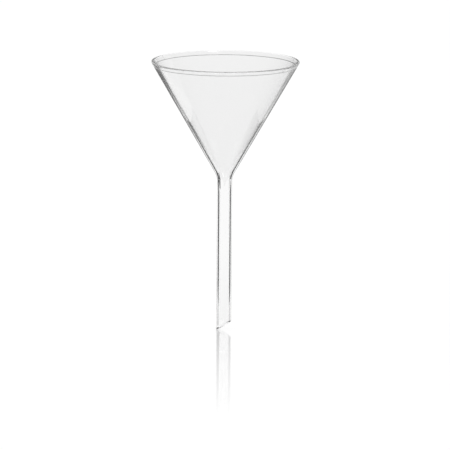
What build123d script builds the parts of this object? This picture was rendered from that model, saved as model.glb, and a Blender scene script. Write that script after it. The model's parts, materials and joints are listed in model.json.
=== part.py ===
from build123d import *
import os
from math import atan2, cos, degrees, radians, sin, sqrt, tan

# A 60 degree laboratory filter funnel of clear borosilicate glass. Everything but the tip is turned about
# +Z. The origin is on the axis, level with the lowest point of the stem.

# Driving dimensions, in millimetres and degrees
MOUTH_DIAMETER = 100.0  # widest outside diameter, at the rim
CONE_ANGLE = 60.0  # included angle of the cone
CONE_WALL = 1.5  # square to the wall
STEM_DIAMETER = 10.0
STEM_WALL = 1.25
STEM_LENGTH = 104.5  # from the lowest point to where the outer lines of stem and cone would cross
TIP_ANGLE = 30.0  # between the ground end and the horizontal
TIP_LENGTH = 12.0  # the ground end and the tube just above it
NECK_OUTER_RADIUS = 12.0  # outside of the bend between stem and cone
RIM_EDGE_RADIUS = 0.6  # outer edge of the fire-polished rim
RIM_TOP_RADIUS = 1.6  # inner edge of the rim; it is tangent to the bead's face
RIM_BEAD_LENGTH = 1.9  # straight face of the bead, inside the rim and parallel to the wall
RIM_NOSE_RADIUS = 0.5  # lower edge of the bead
RIM_BLEND_RADIUS = 0.3  # hollow below the bead, where it runs out into the cone
RIM_HEIGHT = 3.5  # rim zone, from the top down

# Worked out from them
half_angle = radians(CONE_ANGLE / 2)
slope = tan(half_angle)
stem_radius = STEM_DIAMETER / 2
bore_radius = stem_radius - STEM_WALL
cone_wall_across = CONE_WALL / cos(half_angle)  # measured level
neck_inner_radius = NECK_OUTER_RADIUS + (CONE_WALL + STEM_WALL) / 2

rim_edge_centre_r = MOUTH_DIAMETER / 2 - RIM_EDGE_RADIUS
rim_edge_outer_line_r = rim_edge_centre_r + RIM_EDGE_RADIUS / cos(half_angle)  # outer line at that height
rim_edge_centre_z = STEM_LENGTH + (rim_edge_outer_line_r - stem_radius) / slope
top_z = rim_edge_centre_z + RIM_EDGE_RADIUS
rim_bottom_z = top_z - RIM_HEIGHT


def outer_radius(z):
    """Outside of the cone at height z."""
    return stem_radius + (z - STEM_LENGTH) * slope


def inner_radius(z):
    """Inside of the cone at height z."""
    return outer_radius(z) - cone_wall_across


def bend(vertical_r, cone_radius_at, fillet_radius):
    """Lower end, middle and upper end of the arc between a vertical wall and the cone's slanted one."""
    crossing_z = STEM_LENGTH + (vertical_r - cone_radius_at(STEM_LENGTH)) / slope
    run = fillet_radius * tan(half_angle / 2)
    low = (vertical_r, crossing_z - run)
    bow = fillet_radius * (1 - cos(half_angle / 2))
    middle = (vertical_r + bow, low[1] + fillet_radius * sin(half_angle / 2))
    high = (vertical_r + run * sin(half_angle), crossing_z + run * cos(half_angle))
    return low, middle, high


outer_bend = bend(stem_radius, outer_radius, NECK_OUTER_RADIUS)
inner_bend = bend(bore_radius, inner_radius, neck_inner_radius)
neck_bottom_z = min(outer_bend[0][1], inner_bend[0][1]) - 1.0
neck_top_z = max(outer_bend[2][1], inner_bend[2][1]) + 1.0


def turned(edges):
    """The solid made by turning a closed outline, drawn in the XZ plane, about +Z."""
    return revolve(make_face(edges), axis=Axis.Z)


def on_section(r, z):
    return Vector(r, 0, z)


def tube(low_z, high_z):
    """A length of the stem."""
    return Pos(0, 0, low_z) * (
        Cylinder(stem_radius, high_z - low_z, align=(Align.CENTER, Align.CENTER, Align.MIN))
        - Cylinder(bore_radius, high_z - low_z, align=(Align.CENTER, Align.CENTER, Align.MIN))
    )


def make_stem_tip():
    """The ground end: longest at -X, shortest at +X."""
    ground_away = Plane(
        origin=(-stem_radius, 0, 0), z_dir=(sin(radians(TIP_ANGLE)), 0, -cos(radians(TIP_ANGLE)))
    )
    return split(tube(0, TIP_LENGTH), bisect_by=ground_away, keep=Keep.BOTTOM)


def make_stem():
    """The straight drawn tube."""
    return tube(TIP_LENGTH, neck_bottom_z)


def make_neck():
    """The fused joint that carries the stem's tube over into the cone."""
    outer_low, outer_middle, outer_high = (on_section(*point) for point in outer_bend)
    inner_low, inner_middle, inner_high = (on_section(*point) for point in inner_bend)
    outer_foot = on_section(stem_radius, neck_bottom_z)
    inner_foot = on_section(bore_radius, neck_bottom_z)
    outer_head = on_section(outer_radius(neck_top_z), neck_top_z)
    inner_head = on_section(inner_radius(neck_top_z), neck_top_z)
    return turned(
        [
            Line(outer_foot, outer_low),
            ThreePointArc(outer_low, outer_middle, outer_high),
            Line(outer_high, outer_head),
            Line(outer_head, inner_head),
            Line(inner_head, inner_high),
            ThreePointArc(inner_high, inner_middle, inner_low),
            Line(inner_low, inner_foot),
            Line(inner_foot, outer_foot),
        ]
    )


def make_cone():
    """The straight wall of the bowl."""
    corners = [
        on_section(outer_radius(neck_top_z), neck_top_z),
        on_section(outer_radius(rim_bottom_z), rim_bottom_z),
        on_section(inner_radius(rim_bottom_z), rim_bottom_z),
        on_section(inner_radius(neck_top_z), neck_top_z),
    ]
    return turned([Line(corners[i], corners[(i + 1) % 4]) for i in range(4)])


def make_rim_bead():
    """The fire-polished rim: flush outside, with a low bead inside where the glass has drawn together."""

    def beyond(start, inward, down_the_wall):
        """The point that far from start, square to the cone's wall and along it."""
        across_r, across_z = -cos(half_angle), sin(half_angle)
        along_r, along_z = -sin(half_angle), -cos(half_angle)
        return (
            start[0] + inward * across_r + down_the_wall * along_r,
            start[1] + inward * across_z + down_the_wall * along_z,
        )

    def around(centre, radius, angle):
        return on_section(centre[0] + radius * cos(radians(angle)), centre[1] + radius * sin(radians(angle)))

    top_centre = (rim_edge_centre_r, top_z - RIM_TOP_RADIUS)
    # depths of the arcs' centres below the cone's outer face, measured square to it
    top_depth = (outer_radius(top_centre[1]) - top_centre[0]) * cos(half_angle)
    nose_depth = top_depth + RIM_TOP_RADIUS - RIM_NOSE_RADIUS
    nose_centre = beyond(top_centre, nose_depth - top_depth, RIM_BEAD_LENGTH)
    across = CONE_WALL + RIM_BLEND_RADIUS - nose_depth
    along = sqrt((RIM_NOSE_RADIUS + RIM_BLEND_RADIUS) ** 2 - across**2)
    blend_centre = beyond(nose_centre, across, along)

    outward_angle = -CONE_ANGLE / 2  # direction of the cone's outward normal
    inward_angle = 180 + outward_angle
    nose_sweep = degrees(atan2(along, across))
    edge_centre = (rim_edge_centre_r, rim_edge_centre_z)
    edge_start = around(edge_centre, RIM_EDGE_RADIUS, outward_angle)
    edge_middle = around(edge_centre, RIM_EDGE_RADIUS, (outward_angle + 90) / 2)
    crown = around(edge_centre, RIM_EDGE_RADIUS, 90)
    top_middle = around(top_centre, RIM_TOP_RADIUS, (90 + inward_angle) / 2)
    top_end = around(top_centre, RIM_TOP_RADIUS, inward_angle)
    nose_start = around(nose_centre, RIM_NOSE_RADIUS, inward_angle)
    nose_middle = around(nose_centre, RIM_NOSE_RADIUS, inward_angle + nose_sweep / 2)
    nose_end = around(nose_centre, RIM_NOSE_RADIUS, inward_angle + nose_sweep)
    blend_middle = around(blend_centre, RIM_BLEND_RADIUS, outward_angle + nose_sweep / 2)
    blend_end = around(blend_centre, RIM_BLEND_RADIUS, outward_angle)
    outer_foot = on_section(outer_radius(rim_bottom_z), rim_bottom_z)
    inner_foot = on_section(inner_radius(rim_bottom_z), rim_bottom_z)
    return turned(
        [
            Line(outer_foot, edge_start),
            ThreePointArc(edge_start, edge_middle, crown),
            ThreePointArc(crown, top_middle, top_end),
            Line(top_end, nose_start),
            ThreePointArc(nose_start, nose_middle, nose_end),
            ThreePointArc(nose_end, blend_middle, blend_end),
            Line(blend_end, inner_foot),
            Line(inner_foot, outer_foot),
        ]
    )


parts = {
    "stem_tip": make_stem_tip(),
    "stem": make_stem(),
    "neck": make_neck(),
    "cone": make_cone(),
    "rim_bead": make_rim_bead(),
}

os.makedirs("parts", exist_ok=True)
for name, part in parts.items():
    part.label = name
    export_step(part, f"parts/{name}.step")
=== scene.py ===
import json
from math import atan2, cos, hypot, pi, radians, sin, sqrt, tan

import bpy
from mathutils import Matrix, Vector


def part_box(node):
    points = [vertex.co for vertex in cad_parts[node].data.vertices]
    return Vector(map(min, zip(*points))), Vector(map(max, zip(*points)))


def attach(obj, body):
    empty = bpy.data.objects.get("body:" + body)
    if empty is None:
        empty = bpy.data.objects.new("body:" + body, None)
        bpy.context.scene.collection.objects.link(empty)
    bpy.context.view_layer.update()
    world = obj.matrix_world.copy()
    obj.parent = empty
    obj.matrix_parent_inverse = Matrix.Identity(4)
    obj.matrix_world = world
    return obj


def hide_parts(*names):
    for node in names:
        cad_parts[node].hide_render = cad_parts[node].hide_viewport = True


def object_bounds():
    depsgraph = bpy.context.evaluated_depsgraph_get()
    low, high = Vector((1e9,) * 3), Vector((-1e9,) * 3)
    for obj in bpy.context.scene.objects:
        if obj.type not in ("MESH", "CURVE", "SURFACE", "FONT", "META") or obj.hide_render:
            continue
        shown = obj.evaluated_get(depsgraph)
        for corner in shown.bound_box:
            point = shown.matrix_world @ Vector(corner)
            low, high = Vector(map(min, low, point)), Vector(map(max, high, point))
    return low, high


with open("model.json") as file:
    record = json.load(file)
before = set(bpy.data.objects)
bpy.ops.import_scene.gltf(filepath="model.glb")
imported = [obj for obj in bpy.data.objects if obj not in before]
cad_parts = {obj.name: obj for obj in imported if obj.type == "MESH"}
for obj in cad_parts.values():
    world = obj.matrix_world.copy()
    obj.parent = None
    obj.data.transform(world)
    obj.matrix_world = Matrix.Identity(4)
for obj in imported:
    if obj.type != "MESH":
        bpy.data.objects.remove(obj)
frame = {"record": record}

MM = 0.001
CAD_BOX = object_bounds()

# ---------------------------------------------------------------- the funnel's dimensions, in metres
HALF_ANGLE = radians(30)  # of the cone
CONE_WALL = 1.5 * MM
NECK_OUTER_RADIUS = 12.0 * MM
RIM_EDGE_RADIUS = 0.6 * MM
RIM_TOP_RADIUS = 1.6 * MM
RIM_BEAD_LENGTH = 1.9 * MM
RIM_NOSE_RADIUS = 0.5 * MM
RIM_BLEND_RADIUS = 0.3 * MM
TIP_ANGLE = radians(30)
TIP_POLISH_RADIUS = 0.18 * MM  # flame-softened edges of the ground end

mounts = {mount["name"]: mount for mount in frame["record"]["mounts"]}
STEM_RADIUS = mounts["stem_outside"]["dims"]["r_mm"] * MM
BORE_RADIUS = mounts["stem_bore"]["dims"]["r_mm"] * MM
STEM_WALL = STEM_RADIUS - BORE_RADIUS
NECK_INNER_RADIUS = NECK_OUTER_RADIUS + (CONE_WALL + STEM_WALL) / 2
MOUTH_RADIUS = CAD_BOX[1].x
TOP_Z = CAD_BOX[1].z
RIM_BOTTOM_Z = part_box("rim_bead")[0].z
NECK_TOP_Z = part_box("neck")[1].z
NECK_BOTTOM_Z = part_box("neck")[0].z
TIP_TOP_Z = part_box("stem_tip")[1].z

slope = tan(HALF_ANGLE)
edge_centre_r = MOUTH_RADIUS - RIM_EDGE_RADIUS
edge_centre_z = TOP_Z - RIM_EDGE_RADIUS
# height at which the outer lines of stem and cone would cross
CROSSING_Z = edge_centre_z - (edge_centre_r + RIM_EDGE_RADIUS / cos(HALF_ANGLE) - STEM_RADIUS) / slope

# fineness of the meshes
SEGMENTS = 512  # round the axis
WALL_STEPS = 24  # along a straight wall of cone or stem
BEND_STEPS = 28  # round a bend of the neck
SAME_POINT = 1e-9  # points closer than this are one point


def outer_radius(z):
    """Outside of the cone at height z."""
    return STEM_RADIUS + (z - CROSSING_Z) * slope


def inner_radius(z):
    """Inside of the cone at height z."""
    return outer_radius(z) - CONE_WALL / cos(HALF_ANGLE)


# ---------------------------------------------------------------- outlines, in the (r, z) half-plane
def arc(centre, radius, start, end, steps):
    """Points round an arc, from angle start to angle end."""
    return [
        (
            centre[0] + radius * cos(start + (end - start) * i / steps),
            centre[1] + radius * sin(start + (end - start) * i / steps),
        )
        for i in range(steps + 1)
    ]


def straight(start, end, steps):
    """Evenly spaced points from start to end."""
    return [
        (start[0] + (end[0] - start[0]) * i / steps, start[1] + (end[1] - start[1]) * i / steps)
        for i in range(steps + 1)
    ]


def joined(*runs):
    """One list from runs that meet end to end."""
    points = []
    for run in runs:
        for point in run:
            if not points or hypot(point[0] - points[-1][0], point[1] - points[-1][1]) > SAME_POINT:
                points.append(point)
    return points


def bend(vertical_r, radius_at, fillet_radius):
    """The neck's arc from a vertical wall to the cone's wall, upwards."""
    crossing = CROSSING_Z + (vertical_r - radius_at(CROSSING_Z)) / slope
    low_z = crossing - fillet_radius * tan(HALF_ANGLE / 2)
    return arc((vertical_r + fillet_radius, low_z), fillet_radius, pi, pi - HALF_ANGLE, BEND_STEPS)


def rim_outline():
    """Walls of the rim, from the bottom outside over the top to the bottom inside."""
    inward = Vector((-cos(HALF_ANGLE), sin(HALF_ANGLE)))
    down_the_wall = Vector((-sin(HALF_ANGLE), -cos(HALF_ANGLE)))
    top_centre = Vector((edge_centre_r, TOP_Z - RIM_TOP_RADIUS))
    # depths of the arcs' centres below the cone's outer face, measured square to it
    top_depth = (outer_radius(top_centre.y) - top_centre.x) * cos(HALF_ANGLE)
    nose_depth = top_depth + RIM_TOP_RADIUS - RIM_NOSE_RADIUS
    nose_centre = top_centre + inward * (nose_depth - top_depth) + down_the_wall * RIM_BEAD_LENGTH
    across = CONE_WALL + RIM_BLEND_RADIUS - nose_depth
    along = sqrt((RIM_NOSE_RADIUS + RIM_BLEND_RADIUS) ** 2 - across**2)
    blend_centre = nose_centre + inward * across + down_the_wall * along
    meeting = atan2(blend_centre.y - nose_centre.y, blend_centre.x - nose_centre.x) % (2 * pi)
    edge = arc((edge_centre_r, edge_centre_z), RIM_EDGE_RADIUS, -HALF_ANGLE, pi / 2, steps=24)
    top = arc(top_centre, RIM_TOP_RADIUS, pi / 2, pi - HALF_ANGLE, steps=20)
    nose = arc(nose_centre, RIM_NOSE_RADIUS, pi - HALF_ANGLE, meeting, steps=16)
    blend = arc(blend_centre, RIM_BLEND_RADIUS, meeting - pi, -HALF_ANGLE, steps=12)
    outside = straight((outer_radius(RIM_BOTTOM_Z), RIM_BOTTOM_Z), edge[0], steps=4)
    inside = straight(blend[-1], (inner_radius(RIM_BOTTOM_Z), RIM_BOTTOM_Z), steps=2)
    return joined(outside, edge, top, nose, blend, inside)


def cone_outlines():
    """Outside of the cone, upwards, and its inside, downwards."""
    outer_low = (outer_radius(NECK_TOP_Z), NECK_TOP_Z)
    outer_high = (outer_radius(RIM_BOTTOM_Z), RIM_BOTTOM_Z)
    inner_low = (inner_radius(NECK_TOP_Z), NECK_TOP_Z)
    inner_high = (inner_radius(RIM_BOTTOM_Z), RIM_BOTTOM_Z)
    return straight(outer_low, outer_high, WALL_STEPS), straight(inner_high, inner_low, WALL_STEPS)


def neck_outlines():
    """Outside of the neck, upwards, and its inside, downwards."""
    outer_bend = bend(STEM_RADIUS, outer_radius, NECK_OUTER_RADIUS)
    inner_bend = bend(BORE_RADIUS, inner_radius, NECK_INNER_RADIUS)
    outside = joined(
        [(STEM_RADIUS, NECK_BOTTOM_Z)],
        outer_bend,
        [(outer_radius(NECK_TOP_Z), NECK_TOP_Z)],
    )
    inside = joined(
        [(inner_radius(NECK_TOP_Z), NECK_TOP_Z)],
        inner_bend[::-1],
        [(BORE_RADIUS, NECK_BOTTOM_Z)],
    )
    return outside, inside


def stem_outlines():
    """Outside of the tube, upwards, and its bore, downwards."""
    outside = straight((STEM_RADIUS, TIP_TOP_Z), (STEM_RADIUS, NECK_BOTTOM_Z), WALL_STEPS)
    inside = straight((BORE_RADIUS, NECK_BOTTOM_Z), (BORE_RADIUS, TIP_TOP_Z), WALL_STEPS)
    return outside, inside


def rounded_corner(before, corner, after, radius, steps):
    """Points of the arc that rounds a corner of an outline."""
    to_before = (Vector(before) - Vector(corner)).normalized()
    to_after = (Vector(after) - Vector(corner)).normalized()
    half = to_before.angle(to_after) / 2
    centre = Vector(corner) + (to_before + to_after).normalized() * radius / sin(half)
    start = Vector(corner) + to_before * radius / tan(half) - centre
    end = Vector(corner) + to_after * radius / tan(half) - centre
    first = atan2(start.y, start.x)
    turn = (atan2(end.y, end.x) - first + pi) % (2 * pi) - pi
    return arc(centre, radius, first, first + turn, steps)


def tip_outline(angle):
    """Walls of the slanted end at one angle round the axis: down inside, across the end, up outside."""

    def ground_corner(radius):
        return radius, (radius * cos(angle) + STEM_RADIUS) * tan(TIP_ANGLE)

    outer_corner = ground_corner(STEM_RADIUS)
    inner_corner = ground_corner(BORE_RADIUS)
    outer_top = (STEM_RADIUS, TIP_TOP_Z)
    inner_top = (BORE_RADIUS, TIP_TOP_Z)
    inner_round = rounded_corner(inner_top, inner_corner, outer_corner, TIP_POLISH_RADIUS, steps=5)
    outer_round = rounded_corner(inner_corner, outer_corner, outer_top, TIP_POLISH_RADIUS, steps=5)
    # every angle needs the same number of points, so shared ends are left out by count
    return (
        straight(inner_top, inner_round[0], steps=4)
        + inner_round[1:]
        + straight(inner_round[-1], outer_round[0], steps=3)[1:]
        + outer_round[1:]
        + straight(outer_round[-1], outer_top, steps=4)[1:]
    )


# ---------------------------------------------------------------- materials
WHITE = (1.0, 1.0, 1.0, 1.0)
WHITE_LIGHT = 1.02  # backdrop and floor shine just over white, which leaves them blank

GLASS_IOR = 1.473  # borosilicate
SLANT_START = 0.68  # Layer Weight's Facing, 0 square on and 1 along the face, where the painted dark edge shade sets in
SLANT_FULL = 0.86  # and where it is darkest
PAINTED_EDGE_SHADE_GREY = 0.01  # colour of the painted edge shade
CONE_NORMAL_Z = -sin(HALF_ANGLE)  # how far the cone's outer face looks down
GLINT_START = CONE_NORMAL_Z + 0.05  # the rim's painted glint sets in where a face looks down less than that
GLINT_FULL = 0.0  # and is strongest from a vertical face on
PAINTED_GLINT_GREY = 0.85  # colour of the painted glint


def new_material(name):
    """An empty material, its nodes and its links."""
    material = bpy.data.materials.new(name)
    material.use_nodes = True
    material.node_tree.nodes.clear()
    return material, material.node_tree.nodes, material.node_tree.links


def use_as_surface(nodes, links, shader):
    """Gives the material its shader."""
    output = nodes.new("ShaderNodeOutputMaterial")
    links.new(shader, output.inputs["Surface"])


def ramp(nodes, links, source, start, end, first, last):
    """Goes from first to last while source goes from start to end, and no further."""
    node = nodes.new("ShaderNodeMapRange")
    node.inputs["From Min"].default_value = start
    node.inputs["From Max"].default_value = end
    node.inputs["To Min"].default_value = first
    node.inputs["To Max"].default_value = last
    links.new(source, node.inputs["Value"])
    return node.outputs["Result"]


def noise(nodes, links, place, scale, detail, roughness):
    """Noise round 0.5, with scale swells to the metre."""
    node = nodes.new("ShaderNodeTexNoise")
    node.inputs["Scale"].default_value = scale
    node.inputs["Detail"].default_value = detail
    node.inputs["Roughness"].default_value = roughness
    links.new(place, node.inputs["Vector"])
    return node.outputs["Fac"]


def diffuse(nodes, grey):
    """A matt shader of an even grey."""
    node = nodes.new("ShaderNodeBsdfDiffuse")
    node.inputs["Color"].default_value = (grey, grey, grey, 1.0)
    return node.outputs[0]


def emission(nodes, grey, strength):
    """A glowing shader of an even grey."""
    node = nodes.new("ShaderNodeEmission")
    node.inputs["Color"].default_value = (grey, grey, grey, 1.0)
    node.inputs["Strength"].default_value = strength
    return node.outputs[0]


def mixed(nodes, links, share, shader, other):
    """A shader with a share of another one in it."""
    node = nodes.new("ShaderNodeMixShader")
    if isinstance(share, bpy.types.NodeSocket):
        links.new(share, node.inputs["Fac"])
    else:
        node.inputs["Fac"].default_value = share
    links.new(shader, node.inputs[1])
    links.new(other, node.inputs[2])
    return node.outputs[0]


def waviness(nodes, links, place, waves, depth):
    """Normals of a face that swells and sinks by about depth."""
    relief = nodes.new("ShaderNodeBump")
    relief.inputs["Strength"].default_value = 1.0
    relief.inputs["Distance"].default_value = depth
    links.new(noise(nodes, links, place, waves, detail=2.0, roughness=0.45), relief.inputs["Height"])
    return relief.outputs["Normal"]


def less_polish(nodes, links, place, waves, haze):
    """Roughness of patches three times as fine as the waves, from none up to haze."""
    patches = noise(nodes, links, place, 3.0 * waves, detail=4.0, roughness=0.5)
    return ramp(nodes, links, patches, start=0.45, end=0.75, first=0.0, last=haze)


def painted_edge_shade(nodes, links, edge):
    """Share of near-black painted shade over glass seen at a slant, up to edge."""
    slant = nodes.new("ShaderNodeLayerWeight")
    slant.inputs["Blend"].default_value = 0.5
    return ramp(nodes, links, slant.outputs["Facing"], SLANT_START, SLANT_FULL, 0.0, edge)


def painted_rim_glint(nodes, links, place, glint):
    """Share of painted glint, a pale grey mixed in up to glint, where the face looks away from the axis and
    less steeply down than the cone's: on the rim's outer rounding and, for light inside the glass, on the
    bead's underside."""
    shape = nodes.new("ShaderNodeNewGeometry")
    parts = nodes.new("ShaderNodeSeparateXYZ")
    links.new(shape.outputs["Normal"], parts.inputs[0])
    turned_up = ramp(nodes, links, parts.outputs["Z"], GLINT_START, GLINT_FULL, 0.0, glint)

    level_place = nodes.new("ShaderNodeVectorMath")
    level_place.operation = "MULTIPLY"
    level_place.inputs[1].default_value = (1.0, 1.0, 0.0)
    links.new(place, level_place.inputs[0])
    outwards = nodes.new("ShaderNodeVectorMath")
    outwards.operation = "DOT_PRODUCT"
    links.new(level_place.outputs[0], outwards.inputs[0])
    links.new(shape.outputs["Normal"], outwards.inputs[1])
    outside = ramp(nodes, links, outwards.outputs["Value"], 0.0, 0.1 * MOUTH_RADIUS, 0.0, 1.0)

    share = nodes.new("ShaderNodeMath")
    share.operation = "MULTIPLY"
    links.new(turned_up, share.inputs[0])
    links.new(outside, share.inputs[1])
    return share.outputs[0]


def clear_glass(name, waves, stretch, depth, haze, edge, glint=0.0):
    """Clear borosilicate glass. Its face waves a little, waves to the metre and drawn out by stretch along
    the axis, and has patches that are less polished, up to haze. Where it is seen at a slant, a painted
    dark edge shade of near black takes up to the share edge of it, and on the rim's outer rounding a
    painted glint of pale grey takes up to the share glint of it."""
    material, nodes, links = new_material(name)
    place = nodes.new("ShaderNodeTexCoord").outputs["Object"]
    drawn = nodes.new("ShaderNodeMapping")
    drawn.inputs["Scale"].default_value = (1.0, 1.0, 1.0 / stretch)
    links.new(place, drawn.inputs["Vector"])
    drawn_place = drawn.outputs[0]

    glass = nodes.new("ShaderNodeBsdfPrincipled")
    glass.inputs["Base Color"].default_value = WHITE
    glass.inputs["IOR"].default_value = GLASS_IOR
    glass.inputs["Transmission Weight"].default_value = 1.0
    links.new(less_polish(nodes, links, drawn_place, waves, haze), glass.inputs["Roughness"])
    links.new(waviness(nodes, links, drawn_place, waves, depth), glass.inputs["Normal"])

    # Painted shade: near-black diffuse mixed into the glass where it is seen at a slant.
    painted_edge_shaded = mixed(nodes, links, painted_edge_shade(nodes, links, edge), glass.outputs[0], diffuse(nodes, PAINTED_EDGE_SHADE_GREY))
    # Painted highlight: pale grey diffuse mixed into the rim's outer rounding.
    rounding = painted_rim_glint(nodes, links, place, glint)
    use_as_surface(nodes, links, mixed(nodes, links, rounding, painted_edge_shaded, diffuse(nodes, PAINTED_GLINT_GREY)))
    return material


def light_table(name):
    """White acrylic lit from below: it glows evenly, and its gloss fades out away from the funnel."""
    material, nodes, links = new_material(name)
    place = nodes.new("ShaderNodeTexCoord").outputs["Object"]
    distance = nodes.new("ShaderNodeVectorMath")
    distance.operation = "LENGTH"
    links.new(place, distance.inputs[0])
    gloss_share = ramp(nodes, links, distance.outputs["Value"], start=0.0, end=0.32, first=0.42, last=0.0)
    gloss = nodes.new("ShaderNodeBsdfGlossy")
    gloss.inputs["Color"].default_value = WHITE
    gloss.inputs["Roughness"].default_value = 0.012
    glow_share = 0.85
    acrylic = mixed(nodes, links, glow_share, diffuse(nodes, 1.0), emission(nodes, 1.0, WHITE_LIGHT))
    use_as_surface(nodes, links, mixed(nodes, links, gloss_share, acrylic, gloss.outputs[0]))
    return material


def card_material(name, brightness):
    """A card that glows evenly at the given brightness, in place of a lit one."""
    material, nodes, links = new_material(name)
    use_as_surface(nodes, links, emission(nodes, brightness, strength=1.0))
    return material


# ---------------------------------------------------------------- the five pieces of glass
def skin(name, node, outlines_at, material):
    """The outer skin of one zone: each outline of outlines_at(angle) turned about the axis. Neighbouring
    zones end on the same rings, so that together they close round one continuous body of glass."""
    vertices, faces = [], []
    for index in range(len(outlines_at(0.0))):
        first = len(vertices)
        count = len(outlines_at(0.0)[index])
        for segment in range(SEGMENTS):
            angle = 2 * pi * segment / SEGMENTS
            vertices += [(r * cos(angle), r * sin(angle), z) for r, z in outlines_at(angle)[index]]
        for segment in range(SEGMENTS):
            here = first + segment * count
            there = first + (segment + 1) % SEGMENTS * count
            faces += [(here + i, there + i, there + i + 1, here + i + 1) for i in range(count - 1)]
    mesh = bpy.data.meshes.new(name)
    mesh.from_pydata(vertices, [], faces)
    mesh.materials.append(material)
    mesh.polygons.foreach_set("use_smooth", [True] * len(faces))
    mesh.update()
    piece = bpy.data.objects.new(name, mesh)
    bpy.context.scene.collection.objects.link(piece)
    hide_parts(node)
    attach(piece, "root")


# Every piece's glass has a painted dark edge shade, and the rim's glass a painted glint as well.
polished_rim = clear_glass(
    "fire_polished_rim", waves=60.0, stretch=1.0, depth=0.03 * MM, haze=0.3, edge=0.3, glint=0.45
)
blown_wall = clear_glass("blown_cone_wall", waves=70.0, stretch=2.0, depth=0.02 * MM, haze=0.02, edge=0.7)
fused_neck = clear_glass("fused_neck", waves=110.0, stretch=2.0, depth=0.02 * MM, haze=0.02, edge=0.7)
drawn_tube = clear_glass("drawn_tube", waves=160.0, stretch=12.0, depth=0.01 * MM, haze=0.02, edge=0.5)
ground_end = clear_glass(
    "ground_and_flamed_end", waves=160.0, stretch=4.0, depth=0.01 * MM, haze=0.05, edge=0.3
)
skin("rim_bead_glass", "rim_bead", lambda angle: [rim_outline()], polished_rim)
skin("cone_glass", "cone", lambda angle: cone_outlines(), blown_wall)
skin("neck_glass", "neck", lambda angle: neck_outlines(), fused_neck)
skin("stem_glass", "stem", lambda angle: stem_outlines(), drawn_tube)
skin("stem_tip_glass", "stem_tip", lambda angle: [tip_outline(angle)], ground_end)


# ---------------------------------------------------------------- the studio, in metres
FLOOR_HALF_WIDTH = 40.0
FLAG_Y = 0.30  # the flags behind the funnel
FLAG_REACH = 2.0  # how far out and up they go
SIDE_X = 0.7  # the high flags on its left and right
FRONT_Y = -0.6  # the card between the funnel and the camera
REACH = 3.0  # how far out and up the high flags, the front card and the backdrop go


def plane(name, corners, material, **seen_by):
    """A flat sheet of the stage. Every kind of ray sees it but those named as False."""
    mesh = bpy.data.meshes.new(name)
    mesh.from_pydata(corners, [], [(0, 1, 2, 3)])
    mesh.materials.append(material)
    sheet = bpy.data.objects.new(name, mesh)
    bpy.context.scene.collection.objects.link(sheet)
    for kind in ("camera", "diffuse", "glossy", "transmission", "shadow"):
        setattr(sheet, f"visible_{kind}", seen_by.get(kind, True))
    return sheet


floor_corners = [
    (x * FLOOR_HALF_WIDTH, y * FLOOR_HALF_WIDTH, 0.0) for x, y in ((-1, -1), (1, -1), (1, 1), (-1, 1))
]
plane("floor", floor_corners, light_table("white_acrylic"))

# The cards hang on a rig that turns with the camera: x runs to its right and y away from it.
rig = bpy.data.objects.new("light_rig", None)
bpy.context.scene.collection.objects.link(rig)


def card(name, corners, material, glossy=False):
    """A card that only bent light meets, and mirrored light too where it is glossy."""
    sheet = plane(name, corners, material, camera=False, diffuse=False, shadow=False, glossy=glossy)
    sheet.parent = rig


def square_on(x, z, y):
    """Corners of an upright card square to the view, from its ranges of x and z."""
    return [(x[0], y, z[0]), (x[1], y, z[0]), (x[1], y, z[1]), (x[0], y, z[1])]


def side_on(x, y, z):
    """Corners of an upright card beside the funnel, along the view, from its ranges of y and z."""
    return [(x, y[0], z[0]), (x, y[1], z[0]), (x, y[1], z[1]), (x, y[0], z[1])]


def beside_funnel(name, side, material):
    """A flag behind the funnel, on its left (-1) or right (1). Its inner edge, as (x, z), keeps well away
    from the stem, follows the cone and goes on upwards."""
    inner_edge = {
        "stem": ((0.165, 0.0), (0.165, 0.045)),
        "cone": ((0.066, 0.045), (0.098, 0.114)),
        "above": ((0.098, 0.114), (0.100, FLAG_REACH)),
    }
    for strip, ((low_x, low_z), (high_x, high_z)) in inner_edge.items():
        corners = [
            (side * low_x, FLAG_Y, low_z),
            (side * FLAG_REACH, FLAG_Y, low_z),
            (side * FLAG_REACH, FLAG_Y, high_z),
            (side * high_x, FLAG_Y, high_z),
        ]
        card(f"{name}_{strip}", corners, material)


black = card_material("black_card", 0.01)
grey = card_material("grey_card", 0.75)
dim = card_material("dim_card", 0.3)
pale = card_material("pale_card", 0.95)
softbox = card_material("softbox", 4.0)

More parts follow.
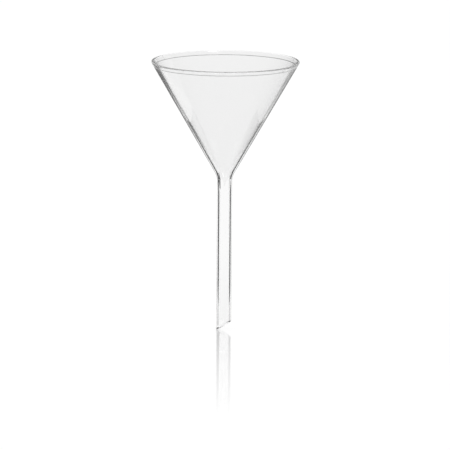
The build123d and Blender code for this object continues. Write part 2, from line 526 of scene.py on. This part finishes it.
beside_funnel("flag_back_left", -1, black)
beside_funnel("flag_back_right", 1, grey)
card("flag_back_top", square_on(x=(-0.10, 0.10), z=(0.185, FLAG_REACH), y=FLAG_Y), dim)
card("flag_low_left", side_on(x=-0.09, y=(0.0, 0.16), z=(0.0, 0.08)), black)
card("flag_low_right", side_on(x=0.09, y=(0.0, 0.15), z=(0.0, 0.08)), black)
card("flag_high_left", side_on(x=-SIDE_X, y=(FRONT_Y, 1.50), z=(0.10, REACH)), black, glossy=True)
card("flag_high_right", side_on(x=SIDE_X, y=(FRONT_Y, 1.50), z=(0.10, REACH)), black, glossy=True)
card("card_behind", square_on(x=(-REACH, REACH), z=(0.040, REACH), y=0.35), pale)
card("card_stem", square_on(x=(-0.010, 0.010), z=(0.0, 0.095), y=0.035), pale)
card("card_front", square_on(x=(-REACH, REACH), z=(0.0, REACH), y=FRONT_Y), black, glossy=True)
card("softbox_front", square_on(x=(0.14, 0.34), z=(0.35, 0.80), y=FRONT_Y + 0.02), softbox, glossy=True)

world = bpy.data.worlds.new("studio")
world.use_nodes = True
world.node_tree.nodes["Background"].inputs["Color"].default_value = WHITE
world.node_tree.nodes["Background"].inputs["Strength"].default_value = WHITE_LIGHT
bpy.context.scene.world = world

# ---------------------------------------------------------------- camera
CAMERA_DISTANCE = 6.0
ELEVATION = radians(9.6)
ROLL = radians(0.4)
MOUTH_SHARE = 0.329333  # of the picture's width that the mouth takes up
FRAME_WIDTH = 2 * MOUTH_RADIUS / MOUTH_SHARE
AIM = Vector((0.00045, 0, 0.0713))  # the middle of the picture
SENSOR_WIDTH = 36.0  # millimetres, like the lens

camera_data = bpy.data.cameras.new("camera")
camera_data.sensor_width = SENSOR_WIDTH
camera_data.lens = SENSOR_WIDTH * CAMERA_DISTANCE / FRAME_WIDTH
camera_data.clip_start = 0.1
camera_data.clip_end = 200.0
camera = bpy.data.objects.new("camera", camera_data)
bpy.context.scene.collection.objects.link(camera)
back = Vector((0, -cos(ELEVATION), sin(ELEVATION)))
camera.matrix_world = (
    Matrix.Translation(AIM + back * CAMERA_DISTANCE)
    @ back.to_track_quat("Z", "Y").to_matrix().to_4x4()
    @ Matrix.Rotation(ROLL, 4, "Z")
)
bpy.context.scene.camera = camera

track = rig.constraints.new("LOCKED_TRACK")
track.target = camera
track.track_axis = "TRACK_NEGATIVE_Y"
track.lock_axis = "LOCK_Z"

bpy.context.scene.view_settings.view_transform = "Standard"
bpy.context.scene.cycles.transmission_bounces = 64
bpy.context.scene.cycles.max_bounces = 72
bpy.context.scene.cycles.glossy_bounces = 16
bpy.context.scene.cycles.transparent_max_bounces = 32
